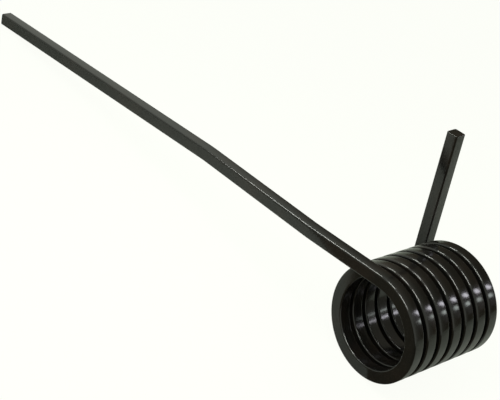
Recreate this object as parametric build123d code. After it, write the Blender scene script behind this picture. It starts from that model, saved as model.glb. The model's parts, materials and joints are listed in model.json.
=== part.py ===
from build123d import *
import math
import os

# A torsion spring wound from square steel wire: an open right-hand coil, a long working arm
# that leaves the coil on its tangent, and a short leg square to the arm at the other end.
# It is one piece of wire, so it is one solid.
#
# Frame: the origin is on the coil's axis, halfway along the winding. +Y runs along the axis,
# from the long arm's end of the coil to the short leg's. +Z is up: the spring lies on its coil
# and on the tip of the long arm, which points towards -X.
#
# It is modelled as wound, with the coil's axis along Z and the long arm's end of the coil on
# the X axis, and then laid down.

# The wire
wire_size = 9.525  # side of the square section, 3/8 in
corner_radius = 1.2  # rolled corners of the section
corner_flats = 2  # narrow flats that make up each rolled corner

# The coil
bore_diameter = 63.5  # inside of the turns, 2 1/2 in
mandrel_flat = 0.1  # how deep the mandrel has pressed into the wire's inner side
mandrel_overrun = 19.0  # how far the mandrel reaches past each end of the winding
turn_gap = 3.175  # open gap between one turn and the next, 1/8 in
turns = 6.75

# The long arm: three straight runs with a slight set between each two
arm_length = 435.0  # along the wire, from the coil to the cut end
first_set_at = 67.0  # along the arm from the coil
second_set_at = 176.5
middle_run_lift = 1.27  # degrees away from the coil's axis, against the coil's tangent
end_run_lift = -0.68
middle_run_lean = 1.15  # degrees towards the short leg's end, against the wind's lead
end_run_lean = -0.09
arm_set_radius = 160.0  # of the wire's centre line through a set

# The short leg, with one set where it leaves the coil
leg_length = 112.5  # along the wire, from the coil to the cut end
leg_set_at = 8.0
leg_lean = -4.95  # degrees towards the short leg's end, against the wind's lead
leg_set_radius = 60.0

# Worked out from the sizes above
mean_radius = bore_diameter / 2 - mandrel_flat + wire_size / 2
outer_radius = mean_radius + wire_size / 2
pitch = wire_size + turn_gap
wound_length = pitch * turns
lead = math.degrees(math.atan(pitch / (2 * math.pi * mean_radius)))
arm_runs = (
    (first_set_at, 0, 0),
    (second_set_at - first_set_at, middle_run_lift, middle_run_lean),
    (arm_length - second_set_at, end_run_lift, end_run_lean),
)
leg_runs = ((leg_set_at, 0, 0), (leg_length - leg_set_at, 0, leg_lean))


def outwards(turned):
    """The direction away from the axis, some degrees around it from the start of the coil."""
    return Vector(1, 0, 0).rotate(Axis.Z, turned)


def heading(turned, lean):
    """The wire's direction at that angle, leaning along the axis by the lead and lean degrees."""
    slope = math.radians(lead + lean)
    around = Vector(0, 1, 0).rotate(Axis.Z, turned)
    return around * math.cos(slope) + Vector(0, 0, 1) * math.sin(slope)


def coil_point(turned):
    """The wire's centre where the coil has turned some degrees."""
    return outwards(turned) * mean_radius + Vector(0, 0, pitch * turned / 360)


def section_outline():
    """Points around the square section, whose rolled corners are narrow flats on an arc."""
    arc_centre = wire_size / 2 - corner_radius
    points = []
    for corner in range(4):
        centre = Vector(arc_centre, arc_centre).rotate(Axis.Z, 90 * corner)
        for step in range(corner_flats + 1):
            angle = 90 * (corner + step / corner_flats)
            points.append(centre + Vector(corner_radius, 0).rotate(Axis.Z, angle))
    return points


def wire_section(turned):
    """The wire's section, square to the coil's centre line at an angle."""
    plane = Plane(origin=coil_point(turned), x_dir=outwards(turned), z_dir=heading(turned, 0))
    return plane * make_face(Polyline(*section_outline(), close=True))


def limb_points(turned, way, runs):
    """Ends of a limb's runs. way is 1 where it goes on with the wind and -1 against it."""
    points = [coil_point(turned)]
    for length, lift, lean in runs:
        direction = heading(turned - way * lift, way * lean) * way
        points.append(points[-1] + direction * length)
    return points


def limb(turned, way, runs, set_radius):
    """The wire of one limb, from the coil to its cut end."""
    path = FilletPolyline(*limb_points(turned, way, runs), radius=set_radius)
    return sweep(wire_section(turned), path=path)


def coil():
    """The wire of the coil, between the points where the two limbs leave it."""
    path = Helix(pitch, wound_length, mean_radius)
    return sweep(wire_section(0), path=path, is_frenet=True)


def mandrel():
    """What the coil was wound on, which leaves its bore round and true."""
    length = wound_length + 2 * mandrel_overrun
    return Pos(0, 0, wound_length / 2) * Cylinder(bore_diameter / 2, length)


def rest_turn():
    """Degrees around the axis that bring the long arm's tip down to the coil's lowest line."""
    tip = limb_points(0, -1, arm_runs)[-1]
    lowest = tip - outwards(end_run_lift) * (wire_size / 2)
    reach = math.hypot(lowest.X, lowest.Y)
    return math.degrees(math.atan2(lowest.Y, lowest.X) + math.acos(-outer_radius / reach))


def lying_plane():
    """Where the winding's own frame lies: its Z along +Y and the start of the coil on top."""
    turn = math.radians(rest_turn())
    top = Vector(-math.sin(turn), 0, math.cos(turn))
    return Plane(origin=(0, -wound_length / 2, 0), x_dir=top, z_dir=(0, 1, 0))


long_arm = limb(0, -1, arm_runs, arm_set_radius)
short_leg = limb(360 * turns, 1, leg_runs, leg_set_radius)
wire = long_arm + coil() + short_leg - mandrel()
spring = lying_plane() * wire

os.makedirs("parts", exist_ok=True)
export_step(spring, "parts/spring_wire.step")
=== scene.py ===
import json
import math

import bmesh
import bpy
from bpy.props import (
    FloatProperty,
    FloatVectorProperty,
    IntProperty,
    PointerProperty,
)
from bpy.types import Operator, Panel, PropertyGroup
from mathutils import Matrix, Vector


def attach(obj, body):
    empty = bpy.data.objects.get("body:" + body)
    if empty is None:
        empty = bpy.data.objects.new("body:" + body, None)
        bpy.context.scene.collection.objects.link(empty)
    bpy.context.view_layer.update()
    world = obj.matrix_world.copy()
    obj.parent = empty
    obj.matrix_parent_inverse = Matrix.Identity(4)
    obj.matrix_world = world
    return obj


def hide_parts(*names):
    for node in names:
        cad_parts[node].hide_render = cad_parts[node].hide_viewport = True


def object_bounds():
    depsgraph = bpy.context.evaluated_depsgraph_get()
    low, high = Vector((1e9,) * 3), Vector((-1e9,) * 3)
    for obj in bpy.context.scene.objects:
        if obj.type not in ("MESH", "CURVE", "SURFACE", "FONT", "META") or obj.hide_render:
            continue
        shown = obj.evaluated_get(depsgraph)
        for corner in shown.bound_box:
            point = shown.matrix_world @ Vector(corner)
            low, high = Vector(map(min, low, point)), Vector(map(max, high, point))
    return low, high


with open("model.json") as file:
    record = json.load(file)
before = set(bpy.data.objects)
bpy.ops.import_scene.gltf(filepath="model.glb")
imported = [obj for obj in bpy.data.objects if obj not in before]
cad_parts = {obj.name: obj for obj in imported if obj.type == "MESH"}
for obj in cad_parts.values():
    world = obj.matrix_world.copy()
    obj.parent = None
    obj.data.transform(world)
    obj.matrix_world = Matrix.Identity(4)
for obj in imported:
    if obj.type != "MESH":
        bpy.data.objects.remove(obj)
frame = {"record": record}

bl_info = {
    "name": "Square Wire Torsion Spring",
    "version": (1, 0, 0),
    "blender": (4, 5, 0),
    "location": "3D View > Sidebar > Torsion Spring",
    "description": "Winds a torsion spring from coated square wire and sets it on a studio floor",
    "category": "Object",
}

NODE = "spring_wire"
BODY = "root"
MM = 0.001

CAD_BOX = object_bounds()
BORE = next(m for m in frame["record"]["mounts"] if m["name"] == "coil_bore")


def shader_node(tree, kind, **settings):
    """Adds a node to a node tree, with its settings and the values of its named inputs."""
    node = tree.nodes.new(kind)
    for name, value in settings.items():
        if name == "inputs":
            for socket, number in value.items():
                node.inputs[socket].default_value = number
        else:
            setattr(node, name, value)
    return node


# ---------------------------------------------------------------- sizes and colours


class WireSizes(PropertyGroup):
    """What sets the shape of the spring"""

    side: FloatProperty(
        name="Wire Side",
        description="Side of the wire's square section",
        default=9.525 * MM,
        unit="LENGTH",
        precision=5,
    )
    corner: FloatProperty(
        name="Rolled Corner",
        description="Radius of the section's four corners",
        default=1.2 * MM,
        unit="LENGTH",
        precision=5,
    )
    corner_steps: IntProperty(
        name="Corner Steps",
        description="Faces that make up each rolled corner",
        default=6,
        min=2,
    )
    crown: FloatProperty(
        name="Crown",
        description="How far the middle of each side stands proud of its edges",
        default=0.05 * MM,
        unit="LENGTH",
        precision=5,
    )
    pressed: FloatProperty(
        name="Mandrel Flat",
        description="How deep the mandrel has pressed into the wire's inner side",
        default=0.1 * MM,
        unit="LENGTH",
        precision=5,
    )
    gap: FloatProperty(
        name="Turn Gap",
        description="Open gap between one turn and the next",
        default=3.175 * MM,
        unit="LENGTH",
        precision=5,
    )
    turns: FloatProperty(
        name="Turns",
        description="Turns in the coil, from one limb to the other",
        default=6.75,
    )
    turn_steps: IntProperty(
        name="Steps in a Turn",
        description="Stretches of wire that make up one turn",
        default=96,
        min=24,
    )


class LimbSizes(PropertyGroup):
    """The straight runs at the two ends of the wire, with the slight sets between them"""

    arm: FloatProperty(
        name="Long Arm",
        description="Length of wire from the coil to the long arm's cut end",
        default=435 * MM,
        unit="LENGTH",
    )
    arm_sets: FloatVectorProperty(
        name="Arm Sets",
        description="Where along the long arm its two sets are, from the coil",
        default=(67 * MM, 176.5 * MM),
        size=2,
        unit="LENGTH",
        precision=4,
    )
    arm_lift: FloatVectorProperty(
        name="Arm Lift",
        description="How far the middle and end runs point away from the coil's axis",
        default=(math.radians(1.27), math.radians(-0.68)),
        size=2,
        unit="ROTATION",
        precision=4,
    )
    arm_lean: FloatVectorProperty(
        name="Arm Lean",
        description="How far the middle and end runs lean towards the short leg's end",
        default=(math.radians(1.15), math.radians(-0.09)),
        size=2,
        unit="ROTATION",
        precision=4,
    )
    arm_bend: FloatProperty(
        name="Arm Set Radius",
        description="Radius of the wire's centre line through a set of the long arm",
        default=160 * MM,
        unit="LENGTH",
    )
    leg: FloatProperty(
        name="Short Leg",
        description="Length of wire from the coil to the short leg's cut end",
        default=112.5 * MM,
        unit="LENGTH",
        precision=4,
    )
    leg_set: FloatProperty(
        name="Leg Set",
        description="Where along the short leg its set is, from the coil",
        default=8 * MM,
        unit="LENGTH",
    )
    leg_lean: FloatProperty(
        name="Leg Lean",
        description="How far the short leg leans towards its own end of the coil",
        default=math.radians(-4.95),
        unit="ROTATION",
        precision=4,
    )
    leg_bend: FloatProperty(
        name="Leg Set Radius",
        description="Radius of the wire's centre line through the short leg's set",
        default=60 * MM,
        unit="LENGTH",
    )
    cut_edge: FloatProperty(
        name="Cut Edge",
        description="Width of the softened edge round each cut end, under its coating",
        default=0.35 * MM,
        unit="LENGTH",
        precision=5,
    )


class CoatingLook(PropertyGroup):
    """The glossy black coating"""

    colour: FloatVectorProperty(
        name="Coating",
        description="Colour of the black coating",
        default=(0.0045, 0.0043, 0.0038),
        subtype="COLOR",
        min=0,
        max=1,
    )
    thin_colour: FloatVectorProperty(
        name="Thin Coating",
        description="Warmer colour where the coating is thin over the steel",
        default=(0.009, 0.0065, 0.005),
        subtype="COLOR",
        min=0,
        max=1,
    )
    roughness: FloatProperty(
        name="Roughness",
        description="Roughness of the coating where it has flowed out well",
        default=0.11,
        min=0,
        max=1,
    )


class StageLook(PropertyGroup):
    """The floor, the lamps and the camera"""

    floor: FloatVectorProperty(
        name="Floor",
        description="Colour of the studio floor",
        default=(0.42, 0.445, 0.4),
        subtype="COLOR",
        min=0,
        max=1,
    )
    backdrop: FloatVectorProperty(
        name="Backdrop",
        description="Colour that the camera sees behind and round the object",
        default=(0.99, 1, 0.95),
        subtype="COLOR",
        min=0,
        max=1,
    )
    walls: FloatVectorProperty(
        name="Walls",
        description="Light of the studio's pale walls and ceiling",
        default=(0.72, 0.76, 0.66),
        subtype="COLOR",
        min=0,
        max=1,
    )
    curtain: FloatVectorProperty(
        name="Curtain",
        description="Light of the darker curtain that hangs behind the object",
        default=(0.10, 0.088, 0.06),
        subtype="COLOR",
        min=0,
        max=1,
    )
    # Painted shade: the colour of a dark card that only the gloss sees, which darkens the floor
    # in front as the coil's faces reflect it
    shade_card: FloatVectorProperty(
        name="Card",
        description="Colour of the dark card in front, which only the gloss sees",
        default=(0.095, 0.083, 0.06),
        subtype="COLOR",
        min=0,
        max=1,
    )
    lamps: FloatProperty(
        name="Lamps",
        description="How bright the lamps are against their usual strength",
        default=1,
        min=0,
    )
    lens: FloatProperty(
        name="Lens",
        description="Focal length on a 36 mm wide sensor, in millimetres",
        default=92.13,
    )
    camera_place: FloatVectorProperty(
        name="Camera Place",
        description="Where the camera stands",
        default=(0.33678, -0.63279, 0.52878),
        subtype="TRANSLATION",
        precision=5,
    )
    camera_turn: FloatVectorProperty(
        name="Camera Turn",
        description="How the camera is turned, in X, Y, Z order",
        default=(math.radians(53.039), math.radians(-17.470), math.radians(51.354)),
        subtype="EULER",
        precision=5,
    )


# ---------------------------------------------------------------- the wire

SIDE_CUTS = 3  # points along each side of the section that carry its crown
SET_STEPS = 4  # stretches of wire that make up one set
CUT_EDGE_STEPS = 2  # faces across the softened edge of a cut end

# The coating's patterns follow the wire. Their scales are in features to the metre.
BLOTCH_SCALE = 45
LINE_SCALE = 1400
PEEL_SCALE = 420
LINE_STRETCH = (1, 1, 0.03)  # the drawn lines run along the wire
DULLER = 0.06  # how much rougher the coating is where it is thin

FLAT_WEIGHT = 100  # how far the flat faces' normals outweigh the narrow ones'


class WoundWire:
    """One length of square wire, grown section by section from the coil's start.

    It is made as wound, with the coil's axis along Z and the long arm's end of the coil on the
    X axis. Each corner of each section remembers its place in the wire: across the wire's two
    sides, and along its length.
    """

    def __init__(self, wire, limbs):
        self.wire = wire
        self.limbs = limbs
        self.bore_radius = BORE["dims"]["r_mm"] * MM
        self.mean_radius = self.bore_radius - wire.pressed + wire.side / 2
        self.outer_radius = self.mean_radius + wire.side / 2
        self.pitch = wire.side + wire.gap
        self.lead = math.atan(self.pitch / (2 * math.pi * self.mean_radius))
        self.mesh = bmesh.new()
        self.place = self.mesh.verts.layers.float_vector.new("wire_place")

    def outwards(self, turned):
        """The direction away from the axis, at an angle from the start of the coil."""
        return Matrix.Rotation(turned, 3, "Z") @ Vector((1, 0, 0))

    def heading(self, turned, lean):
        """The wire's direction at that angle, leaning along the axis by the lead and lean."""
        slope = self.lead + lean
        around = Matrix.Rotation(turned, 3, "Z") @ Vector((0, 1, 0))
        return around * math.cos(slope) + Vector((0, 0, 1)) * math.sin(slope)

    def first_section(self):
        """A square with rolled corners and slightly crowned sides, across the wire where the
        coil starts.
        """
        half = self.wire.side / 2 - self.wire.crown
        made = bmesh.ops.create_grid(self.mesh, x_segments=1, y_segments=1, size=half)
        bmesh.ops.bevel(
            self.mesh,
            geom=made["verts"],
            offset=self.wire.corner,
            offset_type="OFFSET",
            affect="VERTICES",
            segments=self.wire.corner_steps,
            profile=0.5,
            material=-1,
        )
        flat = half - self.wire.corner
        sides = [edge for edge in self.mesh.edges if edge.calc_length() > flat]
        bmesh.ops.subdivide_edges(self.mesh, edges=sides, cuts=SIDE_CUTS)
        for corner in self.mesh.verts:
            for over, out in ((0, 1), (1, 0)):
                if abs(corner.co[over]) < flat:
                    rise = self.wire.crown * (1 - (corner.co[over] / flat) ** 2)
                    corner.co[out] += math.copysign(rise, corner.co[out])
        for corner in self.mesh.verts:
            corner[self.place] = (corner.co.x, corner.co.y, 0)
        out = self.outwards(0)
        along = self.heading(0, 0)
        across = along.cross(out)
        stand = Matrix((out, across, along)).transposed().to_4x4()
        stand.translation = out * self.mean_radius
        bmesh.ops.transform(self.mesh, matrix=stand, verts=self.mesh.verts)
        return next(iter(self.mesh.faces))

    def grow(self, end, move, length):
        """Grows the wire from an end face by one stretch and returns the new end face."""
        made = bmesh.ops.extrude_face_region(
            self.mesh, geom=[end, *end.edges, *end.verts]
        )["geom"]
        corners = [v for v in made if isinstance(v, bmesh.types.BMVert)]
        bmesh.ops.transform(self.mesh, matrix=move, verts=corners)
        for corner in corners:
            across, up, along = corner[self.place]
            corner[self.place] = (across, up, along + length)
        return next(f for f in made if isinstance(f, bmesh.types.BMFace))

    def wind(self, end):
        """The coil: equal turns about the Z axis that climb by the pitch."""
        steps = round(self.wire.turns * self.wire.turn_steps)
        angle = 2 * math.pi * self.wire.turns / steps
        climb = Vector((0, 0, self.pitch * self.wire.turns / steps))
        move = Matrix.Translation(climb) @ Matrix.Rotation(angle, 4, "Z")
        stretch = angle * self.mean_radius / math.cos(self.lead)
        for _ in range(steps):
            end = self.grow(end, move, stretch)
        return end

    def straight(self, end, heading, length, way):
        """A straight run, as one stretch."""
        return self.grow(end, Matrix.Translation(heading * length), way * length)

    def bend(self, end, before, after, radius, way):
        """A slight set: the wire turns from one heading to the next round a wide arc."""
        axis = before.cross(after).normalized()
        angle = before.angle(after) / SET_STEPS
        hub = end.calc_center_median() + axis.cross(before) * radius
        move = (
            Matrix.Translation(hub)
            @ Matrix.Rotation(angle, 4, axis)
            @ Matrix.Translation(-hub)
        )
        for _ in range(SET_STEPS):
            end = self.grow(end, move, way * radius * angle)
        return end

    def limb(self, end, turned, way, runs, radius):
        """Straight runs of (length, lift, lean), with a set between each two. way is 1 for the
        short leg, which carries on from the coil, and -1 for the long arm, which leads into it.
        """
        headings = [
            self.heading(turned - way * lift, way * lean) * way for _, lift, lean in runs
        ]
        used = [
            radius * math.tan(a.angle(b) / 2) for a, b in zip(headings, headings[1:])
        ]
        for place, (length, _, _) in enumerate(runs):
            length -= sum(used[max(place - 1, 0):place + 1])
            end = self.straight(end, headings[place], length, way)
            if place < len(used):
                end = self.bend(end, headings[place], headings[place + 1], radius, way)
        return end

    def press(self):
        """The mandrel presses the coil's inner side out to a true bore."""
        for corner in self.mesh.verts:
            reach = corner.co.xy.length
            if reach < self.bore_radius:
                corner.co.xy *= self.bore_radius / reach

    def soften(self, ends):
        """Takes the sharpness off the edges round the cut ends."""
        bmesh.ops.bevel(
            self.mesh,
            geom=[edge for end in ends for edge in end.edges],
            offset=self.limbs.cut_edge,
            offset_type="OFFSET",
            affect="EDGES",
            segments=CUT_EDGE_STEPS,
            profile=0.5,
            material=-1,
        )

    def lay_down(self, tip):
        """Lays the spring on its coil and on the long arm's tip, with the axis along Y."""
        reach = math.hypot(tip.x, tip.y)
        turn = math.atan2(tip.y, tip.x) + math.acos(-self.outer_radius / reach)
        top = Vector((-math.sin(turn), 0, math.cos(turn)))
        axis = Vector((0, 1, 0))
        lie = Matrix((top, axis.cross(top), axis)).transposed().to_4x4()
        lie.translation = axis * (-self.pitch * self.wire.turns / 2)
        bmesh.ops.transform(self.mesh, matrix=lie, verts=self.mesh.verts)

    def build(self):
        """The whole wire: the coil first, then a limb from each of its ends."""
        limbs = self.limbs
        coil_start = self.first_section()
        coil_end = self.wind(coil_start)
        first_set, second_set = limbs.arm_sets
        arm_runs = (
            (first_set, 0, 0),
            (second_set - first_set, limbs.arm_lift[0], limbs.arm_lean[0]),
            (limbs.arm - second_set, limbs.arm_lift[1], limbs.arm_lean[1]),
        )
        leg_runs = ((limbs.leg_set, 0, 0), (limbs.leg - limbs.leg_set, 0, limbs.leg_lean))
        arm_end = self.limb(coil_start, 0, -1, arm_runs, limbs.arm_bend)
        leg_end = self.limb(
            coil_end, 2 * math.pi * self.wire.turns, 1, leg_runs, limbs.leg_bend
        )
        inwards = self.outwards(limbs.arm_lift[1]) * (self.wire.side / 2)
        tip = arm_end.calc_center_median() - inwards
        self.press()
        self.soften((arm_end, leg_end))
        self.lay_down(tip)
        bmesh.ops.recalc_face_normals(self.mesh, faces=self.mesh.faces)
        return self.mesh


def coating(look):
    """A flowed-out glossy black coating, a little warmer and duller where it is thin."""
    material = bpy.data.materials.new("glossy_black_coating")
    material.use_nodes = True
    tree = material.node_tree
    tree.nodes.clear()
    link = tree.links.new

    output = shader_node(tree, "ShaderNodeOutputMaterial")
    shader = shader_node(tree, "ShaderNodeBsdfPrincipled", inputs={"IOR": 1.5})
    link(shader.outputs["BSDF"], output.inputs["Surface"])

    place = shader_node(tree, "ShaderNodeAttribute", attribute_name="wire_place")
    drawn = shader_node(tree, "ShaderNodeMapping", vector_type="POINT")
    drawn.inputs["Scale"].default_value = LINE_STRETCH
    link(place.outputs["Vector"], drawn.inputs["Vector"])

    blotches = shader_node(
        tree,
        "ShaderNodeTexNoise",
        inputs={"Scale": BLOTCH_SCALE, "Detail": 3, "Roughness": 0.5},
    )
    link(place.outputs["Vector"], blotches.inputs["Vector"])
    lines = shader_node(
        tree,
        "ShaderNodeTexNoise",
        inputs={"Scale": LINE_SCALE, "Detail": 2, "Roughness": 0.6},
    )
    link(drawn.outputs["Vector"], lines.inputs["Vector"])
    peel = shader_node(
        tree,
        "ShaderNodeTexNoise",
        inputs={"Scale": PEEL_SCALE, "Detail": 1, "Roughness": 0.4},
    )
    link(place.outputs["Vector"], peel.inputs["Vector"])

    tint = shader_node(tree, "ShaderNodeMix", data_type="RGBA")
    tint.inputs["A"].default_value = (*look.colour, 1)
    tint.inputs["B"].default_value = (*look.thin_colour, 1)
    thin = shader_node(
        tree,
        "ShaderNodeMapRange",
        inputs={"From Min": 0.45, "From Max": 0.7, "To Min": 0, "To Max": 1},
    )
    link(blotches.outputs["Fac"], thin.inputs["Value"])
    link(thin.outputs["Result"], tint.inputs["Factor"])
    link(tint.outputs["Result"], shader.inputs["Base Color"])

    rough = shader_node(
        tree,
        "ShaderNodeMapRange",
        inputs={
            "From Min": 0.3,
            "From Max": 0.75,
            "To Min": look.roughness,
            "To Max": look.roughness + DULLER,
        },
    )
    link(blotches.outputs["Fac"], rough.inputs["Value"])
    link(rough.outputs["Result"], shader.inputs["Roughness"])

    drawn_bump = shader_node(
        tree, "ShaderNodeBump", inputs={"Strength": 0.03, "Distance": 0.02 * MM}
    )
    link(lines.outputs["Fac"], drawn_bump.inputs["Height"])
    peel_bump = shader_node(
        tree, "ShaderNodeBump", inputs={"Strength": 0.05, "Distance": 0.03 * MM}
    )
    link(peel.outputs["Fac"], peel_bump.inputs["Height"])
    link(drawn_bump.outputs["Normal"], peel_bump.inputs["Normal"])
    link(peel_bump.outputs["Normal"], shader.inputs["Normal"])
    return material


class SPRING_OT_wind(Operator):
    """Winds the spring from one length of square wire and coats it"""

    bl_idname = "spring.wind"
    bl_label = "Wind the Spring"

    def execute(self, context):
        scene = context.scene
        wound = WoundWire(scene.spring_wire_sizes, scene.spring_limb_sizes).build()
        mesh = bpy.data.meshes.new("coated_wire")
        wound.to_mesh(mesh)
        wound.free()
        mesh.shade_smooth()
        mesh.materials.append(coating(scene.spring_coating))
        spring = bpy.data.objects.new("coated_wire", mesh)
        scene.collection.objects.link(spring)
        flats = spring.modifiers.new("flats_stay_flat", "WEIGHTED_NORMAL")
        flats.mode = "FACE_AREA"
        flats.weight = FLAT_WEIGHT
        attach(spring, BODY)
        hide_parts(NODE)
        return {"FINISHED"}


# ---------------------------------------------------------------- the stage

# Where the curtain's soft edge starts and ends, as the part of a direction that points along Y
CURTAIN_EDGE = (0.59, 0.73)

# The lamps behind the object: where each stands from the coil, in metres, its two sides, how
# bright its face is, where white is 1, and its colour
BACK_LAMPS = (
    ("back_lamp_high", (0.743, 1.222, 0.849), (0.115, 0.19), 12.5, (0.93, 0.91, 1)),
    ("back_lamp_low", (0.96, 1.222, 0.608), (0.115, 0.15), 6.5, (0.91, 1, 0.96)),
    ("back_glow", (0.87, 1.35, 0.64), (0.6, 0.9), 0.2, (0.95, 0.93, 1)),
)
# The bright panels in the ceiling: each one's place from the coil and its two sides
CEILING_PANELS = (
    ("ceiling_left", (-0.885, -0.17, 1), (0.42, 0.2)),
    ("ceiling_middle", (-0.24, -0.26, 1), (0.3, 0.2)),
    ("ceiling_right", (0.34, -0.355, 1), (0.49, 0.2)),
)
PANEL_BRIGHTNESS = 34
PANEL_COLOUR = (0.97, 1, 0.93)

# The lamps over the floor, which the gloss doesn't show: where each stands, its two sides and
# how bright it is
FLOOR_LAMPS = (
    ("floor_lamp_front", (-0.16, -0.2, 0.3), (0.25, 0.25), 7.5),
    ("floor_lamp_rear", (0.12, 0.32, 0.15), (0.15, 0.15), 5.5),
    ("floor_lamp_near", (0.065, 0.04, 0), (0.03, 0.12), 0.9),
)

# A point on the near edge of the dark card, whose colour is painted shade that only the gloss
# sees, the way that the edge runs, and the card's size
CARD_EDGE_POINT = (0.0085, -0.049)
CARD_EDGE_TURN = math.radians(38.3)
CARD_SIZE = 2.4
CARD_LIFT = 0.5 * MM
FLOOR_SIZE = 2.4

FLOOR_GLOW = 1.045  # strength of the backdrop's colour on the floor, as the camera sees it
GLOW_SHARE = 0.92  # of what the camera sees of the floor; the rest is lit and holds the shadow
SENSOR_WIDTH = 36  # of the camera, in millimetres


def floor_material(look):
    """A plain pale floor that the camera sees as near white, with the object's soft shadow."""
    material = bpy.data.materials.new("studio_floor")
    material.use_nodes = True
    tree = material.node_tree
    tree.nodes.clear()
    link = tree.links.new
    output = shader_node(tree, "ShaderNodeOutputMaterial")
    matt = shader_node(
        tree,
        "ShaderNodeBsdfPrincipled",
        inputs={"Base Color": (*look.floor, 1), "Roughness": 0.9, "Specular IOR Level": 0},
    )
    glow = shader_node(
        tree,
        "ShaderNodeEmission",
        inputs={"Color": (*look.backdrop, 1), "Strength": FLOOR_GLOW},
    )
    rays = shader_node(tree, "ShaderNodeLightPath")
    seen = shader_node(tree, "ShaderNodeMath", operation="MULTIPLY", inputs={1: GLOW_SHARE})
    mix = shader_node(tree, "ShaderNodeMixShader")
    link(rays.outputs["Is Camera Ray"], seen.inputs[0])
    link(seen.outputs["Value"], mix.inputs["Fac"])
    link(matt.outputs["BSDF"], mix.inputs[1])
    link(glow.outputs["Emission"], mix.inputs[2])
    link(mix.outputs["Shader"], output.inputs["Surface"])
    return material


def studio_world(look):
    """Pale walls with a darker curtain behind, and the backdrop that the camera sees."""
    world = bpy.data.worlds.new("studio")
    world.use_nodes = True
    tree = world.node_tree
    tree.nodes.clear()
    link = tree.links.new
    output = shader_node(tree, "ShaderNodeOutputWorld")
    towards = shader_node(tree, "ShaderNodeTexCoord")
    part = shader_node(tree, "ShaderNodeSeparateXYZ")
    edge = shader_node(
        tree,
        "ShaderNodeMapRange",
        interpolation_type="SMOOTHSTEP",
        inputs={"From Min": CURTAIN_EDGE[0], "From Max": CURTAIN_EDGE[1]},
    )
    hung = shader_node(tree, "ShaderNodeMix", data_type="RGBA")
    colour = next(socket for socket in hung.outputs if socket.type == "RGBA")
    pale, dark = [socket for socket in hung.inputs if socket.type == "RGBA"]
    pale.default_value = (*look.walls, 1)
    dark.default_value = (*look.curtain, 1)
    room = shader_node(tree, "ShaderNodeBackground", inputs={"Strength": 1})
    backdrop = shader_node(
        tree, "ShaderNodeBackground", inputs={"Color": (*look.backdrop, 1), "Strength": 1}
    )
    rays = shader_node(tree, "ShaderNodeLightPath")
    mix = shader_node(tree, "ShaderNodeMixShader")
    link(towards.outputs["Generated"], part.inputs["Vector"])
    link(part.outputs["Y"], edge.inputs["Value"])
    link(edge.outputs["Result"], hung.inputs[0])
    link(colour, room.inputs["Color"])
    link(rays.outputs["Is Camera Ray"], mix.inputs["Fac"])
    link(room.outputs["Background"], mix.inputs[1])
    link(backdrop.outputs["Background"], mix.inputs[2])
    link(mix.outputs["Shader"], output.inputs["Surface"])
    return world


def lamp(name, stand, sides, brightness, colour=(1, 1, 1)):
    """A rectangular soft lamp that faces down. Its power is what gives that brightness."""
    data = bpy.data.lights.new(name, "AREA")
    data.shape = "RECTANGLE"
    data.size, data.size_y = sides
    data.energy = brightness * math.pi * sides[0] * sides[1]
    data.color = colour
    made = bpy.data.objects.new(name, data)
    made.location = stand
    bpy.context.scene.collection.objects.link(made)
    return made


def face_coil(made):
    """Turns a lamp to face the middle of the coil."""
    made.rotation_euler = made.location.to_track_quat("Z", "Y").to_euler()


def stage_sheet(name, size, place, material):
    """A flat square sheet that is part of the stage."""
    sheet = bmesh.new()
    bmesh.ops.create_grid(sheet, x_segments=1, y_segments=1, size=size / 2, matrix=place)
    mesh = bpy.data.meshes.new(name)
    sheet.to_mesh(mesh)
    sheet.free()
    mesh.materials.append(material)
    made = bpy.data.objects.new(name, mesh)
    bpy.context.scene.collection.objects.link(made)
    return made


def shade_card_material(look):
    """The dark card's matt material, whose colour is painted shade: the gloss shows it in place
    of the floor in front.
    """
    material = bpy.data.materials.new("painted_shade_card")
    material.use_nodes = True
    shader = material.node_tree.nodes["Principled BSDF"]
    shader.inputs["Base Color"].default_value = (*look.shade_card, 1)
    shader.inputs["Roughness"].default_value = 0.95
    shader.inputs["Specular IOR Level"].default_value = 0
    return material


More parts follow.
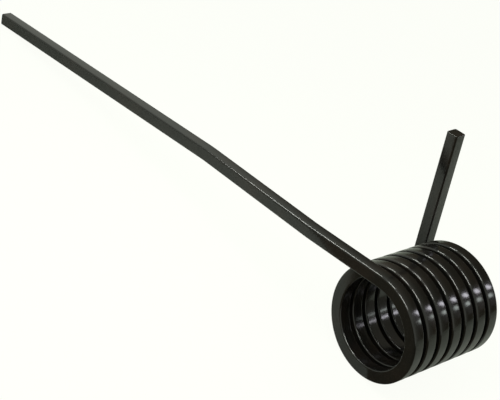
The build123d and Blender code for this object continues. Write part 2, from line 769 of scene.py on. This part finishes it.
class SPRING_OT_stage(Operator):
    """Sets the floor, the lamps, the surroundings and the camera"""

    bl_idname = "spring.stage"
    bl_label = "Set the Stage"

    def execute(self, context):
        scene = context.scene
        look = scene.spring_stage

        under = CAD_BOX[0].z
        place = Matrix.Translation((0, 0, under))
        stage_sheet("floor", FLOOR_SIZE, place, floor_material(look))

        # The dark card is painted shade: hidden from the camera, from matt light and from
        # shadows, it only darkens the floor in front as the gloss reflects it
        turn = Matrix.Rotation(CARD_EDGE_TURN, 4, "Z")
        edge = Matrix.Translation((*CARD_EDGE_POINT, under + CARD_LIFT))
        place = edge @ turn @ Matrix.Translation((0, -CARD_SIZE / 2, 0))
        shade_card = stage_sheet("painted_shade_card", CARD_SIZE, place, shade_card_material(look))
        shade_card.visible_camera = False
        shade_card.visible_diffuse = False
        shade_card.visible_transmission = False
        shade_card.visible_shadow = False

        scene.world = studio_world(look)
        for name, stand, sides, brightness, colour in BACK_LAMPS:
            face_coil(lamp(name, stand, sides, brightness * look.lamps, colour))
        for name, stand, sides in CEILING_PANELS:
            panel = lamp(name, stand, sides, PANEL_BRIGHTNESS * look.lamps, PANEL_COLOUR)
            panel.visible_diffuse = False
        for name, stand, sides, brightness in FLOOR_LAMPS:
            fill = lamp(name, stand, sides, brightness * look.lamps)
            fill.visible_glossy = False

        camera_data = bpy.data.cameras.new("camera")
        camera_data.sensor_width = SENSOR_WIDTH
        camera_data.lens = look.lens
        camera = bpy.data.objects.new("camera", camera_data)
        camera.location = look.camera_place
        camera.rotation_euler = look.camera_turn
        scene.collection.objects.link(camera)
        scene.camera = camera
        scene.view_settings.view_transform = "Standard"
        return {"FINISHED"}


class SPRING_PT_panel(Panel):
    """Lists the steps that make the spring and its stage"""

    bl_label = "Torsion Spring"
    bl_idname = "SPRING_PT_panel"
    bl_space_type = "VIEW_3D"
    bl_region_type = "UI"
    bl_category = "Torsion Spring"

    def draw(self, context):
        scene = context.scene
        for title, group, step in (
            ("Wire", scene.spring_wire_sizes, None),
            ("Limbs", scene.spring_limb_sizes, None),
            ("Coating", scene.spring_coating, SPRING_OT_wind),
            ("Stage", scene.spring_stage, SPRING_OT_stage),
        ):
            box = self.layout.box()
            box.label(text=title)
            for name in group.__annotations__:
                box.prop(group, name)
            if step:
                box.operator(step.bl_idname)


SCENE_GROUPS = {
    "spring_wire_sizes": WireSizes,
    "spring_limb_sizes": LimbSizes,
    "spring_coating": CoatingLook,
    "spring_stage": StageLook,
}
CLASSES = (*SCENE_GROUPS.values(), SPRING_OT_wind, SPRING_OT_stage, SPRING_PT_panel)


def register():
    """Registers the classes and gives the scene their sizes and colours."""
    for each in CLASSES:
        bpy.utils.register_class(each)
    for name, group in SCENE_GROUPS.items():
        setattr(bpy.types.Scene, name, PointerProperty(type=group))


def unregister():
    """Takes away what register added."""
    for name in SCENE_GROUPS:
        delattr(bpy.types.Scene, name)
    for each in reversed(CLASSES):
        bpy.utils.unregister_class(each)


def main():
    """Makes the spring and its stage."""
    register()
    bpy.ops.spring.wind()
    bpy.ops.spring.stage()


if __name__ == "__main__":
    main()
